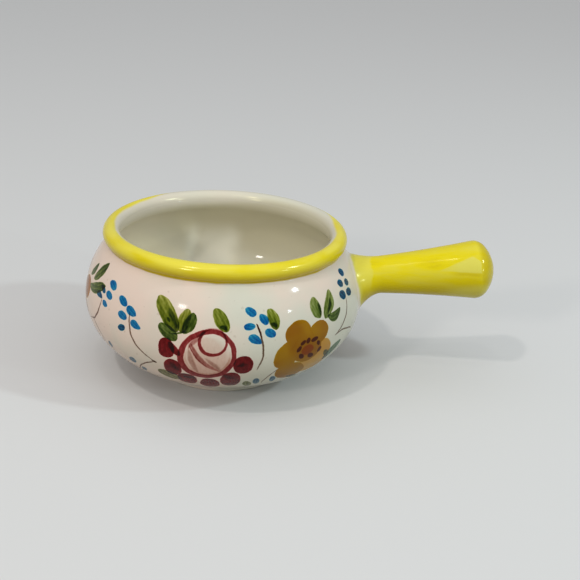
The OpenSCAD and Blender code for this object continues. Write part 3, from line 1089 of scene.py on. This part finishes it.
def collar():
    """The handle's flare onto the bowl, with the glaze that fills the corner between them."""
    turn = np.linspace(0, 2 * math.pi, COLLAR_SIDES, endpoint=False)

    def at(s):
        share = np.clip((ROOT_S - s) / ROOT_S, 0, None) ** FLARE_POWER
        radius = ROOT_R - ROOT_SLOPE * (ROOT_S - s)
        radius = radius + (COLLAR_R + COLLAR_GLAZE - ROOT_R + ROOT_SLOPE * ROOT_S) * share
        return on_axis(s, radius, turn, (COLLAR_DROP - COLLAR_GLAZE) * share)

    low = np.full(turn.shape, TOUCH_FROM)
    high = np.full(turn.shape, TOUCH_TO)
    for _ in range(HALVINGS):
        middle = (low + high) / 2
        outside = wall_side(at(middle))[0] > 0
        high = np.where(outside, middle, high)
        low = np.where(outside, low, middle)
    touch_s = (low + high) / 2
    touch = at(touch_s)
    stop = touch_s + CORNER_GLAZE
    rows = [at(np.full(turn.shape, ROOT_S + lap)) for lap in COLLAR_LAPS]
    rows += [at(ROOT_S + (stop - ROOT_S) * share) for share in np.linspace(0, 1, 15)]
    # Away runs along the bowl's face, from the touching line outwards
    away = touch - AXIS_FROM - touch_s[:, None] * ALONG
    way = wall_side(touch)[1]
    away = away - (away * way).sum(axis=-1, keepdims=True) * way
    away = away / np.linalg.norm(away, axis=-1, keepdims=True)

    def on_wall(reach, sink):
        point = touch + away * reach
        gap, out = wall_side(point)
        return point - (gap[:, None] + sink) * out

    from_collar, to_wall = rows[-1], on_wall(CORNER_GLAZE, 0.0)
    for share in np.linspace(0, 1, 9)[1:]:
        rows.append((1 - share) ** 2 * from_collar + 2 * share * (1 - share) * touch
                    + share ** 2 * to_wall)
    rows += [on_wall(CORNER_GLAZE + step, sink) for step, sink in SUNK_STEPS]
    rows = thrown(np.array(rows))[::-1]
    normals = facing(rows)
    for row in (1, 2):
        normals[row] = wall_side(rows[row])[1]
    start, end = (thrown(AXIS_FROM + s * ALONG) for s in (-COLLAR_END, ROOT_S + COLLAR_LAPS[0]))
    skin("collar_flare", "handle_collar", (handle_glaze("collar_glaze", True),), rows,
         normals, start, end)


wall()
rim()
foot()
grip()
collar()


# Floor, light and camera

FLOOR_HALF = 4.0
FLOOR_LIGHT = (0.41, 0.395, 0.35)
FLOOR_SEEN = (0.66, 0.66, 0.65)
ROOM = (0.97, 0.98, 1.0)
# The room's least brightness where it is seen
ROOM_SEEN = 0.42
WARM = (1.0, 0.95, 0.90)
PLAIN = (1.0, 0.98, 0.95)
COOL = (0.82, 0.96, 1.0)
# Each softbox: name, degrees around from the front, degrees up, metres away and across, watts and colour
SOFTBOXES = (
    ("above", -21, 70, 1.4, 0.045, 0.5, PLAIN),
    ("upper_left", -40, 56, 1.4, 0.07, 3.0, WARM),
    ("low_left", -34, 25, 1.3, 0.12, 2.8, WARM),
    ("low_right", 56, 16, 1.3, 0.05, 1.2, COOL),
    ("right", 71, 35, 1.3, 0.08, 4.0, COOL),
)
LIT_FROM = (0.01, 0.0, 0.05)
# The photograph's camera: lens in millimetres, three angles in degrees and place in metres
LENS = 66.39
LIFT, YAW, ROLL = 22.254, 3.579, 3.543
EYE = (0.00211, -0.48853, 0.24108)


def plainly_seen(tree):
    """One for what the camera sees, straight or in a reflection, and zero for light that bounces."""
    path = tree.nodes.new("ShaderNodeLightPath").outputs
    seen = plus(path["Is Camera Ray"], path["Is Glossy Ray"])
    return maths("ADD", seen, path["Is Transmission Ray"], clamp=True)


def floor():
    """A plain pale floor, seen a little brighter than it lights the bowl."""
    mesh = bpy.data.meshes.new("floor")
    corners = [(x * FLOOR_HALF, y * FLOOR_HALF, 0) for x, y in ((-1, -1), (1, -1), (1, 1), (-1, 1))]
    mesh.from_pydata(corners, [], [(0, 1, 2, 3)])
    ground = placed("floor", mesh)
    kind, tree = fresh("pale_floor")
    shader = tree.nodes.new("ShaderNodeBsdfDiffuse")
    feed(shader.inputs["Color"], blend(plainly_seen(tree), FLOOR_LIGHT, FLOOR_SEEN))
    feed(tree.nodes.new("ShaderNodeOutputMaterial").inputs[0], shader.outputs[0])
    mesh.materials.append(kind)


def softbox(name, around, lift, gap, size, power, colour):
    """A square lamp that faces the bowl."""
    data = bpy.data.lights.new(name, "AREA")
    data.shape = "SQUARE"
    data.size = size
    data.energy = power
    data.color = colour
    lamp = placed(name, data)
    turn, rise = math.radians(around), math.radians(lift)
    away = Vector((math.sin(turn) * math.cos(rise), -math.cos(turn) * math.cos(rise), math.sin(rise)))
    lamp.location = Vector(LIT_FROM) + away * gap
    lamp.rotation_euler = away.to_track_quat("Z", "Y").to_euler()


def light():
    """A soft glow overhead, a little to the front and left, over a dim even room, and the softboxes."""
    world = bpy.data.worlds.new("soft_room")
    bpy.context.scene.world = world
    world.use_nodes = True
    tree = world.node_tree
    way = tree.nodes.new("ShaderNodeTexCoord").outputs["Generated"]
    overhead = vector("DOT_PRODUCT", way, (-0.12, -0.32, 0.94))
    glow = ramp(overhead, 0.15, 1.0, 0.22, 0.93)
    glow = larger(glow, times(plainly_seen(tree), ROOM_SEEN))
    fill(tree.nodes["Background"], {"Color": (*ROOM, 1), "Strength": glow})
    for box in SOFTBOXES:
        softbox(*box)


def camera():
    """The photograph's viewpoint: from above, a little from the left, tipped slightly."""
    data = bpy.data.cameras.new("camera")
    data.sensor_width = 36.0
    data.lens = LENS
    data.clip_start = 0.01
    eye = placed("camera", data)
    lift, yaw, roll = map(math.radians, (LIFT, YAW, ROLL))
    ahead = Vector((math.sin(yaw) * math.cos(lift), math.cos(yaw) * math.cos(lift), -math.sin(lift)))
    right = ahead.cross(Vector((0, 0, 1))).normalized()
    above = right.cross(ahead)
    side = math.cos(roll) * right + math.sin(roll) * above
    top = -math.sin(roll) * right + math.cos(roll) * above
    turn = Matrix((side, top, -ahead)).transposed().to_4x4()
    eye.matrix_world = Matrix.Translation(EYE) @ turn
    bpy.context.scene.camera = eye


floor()
light()
camera()
bpy.context.scene.view_settings.view_transform = "Standard"
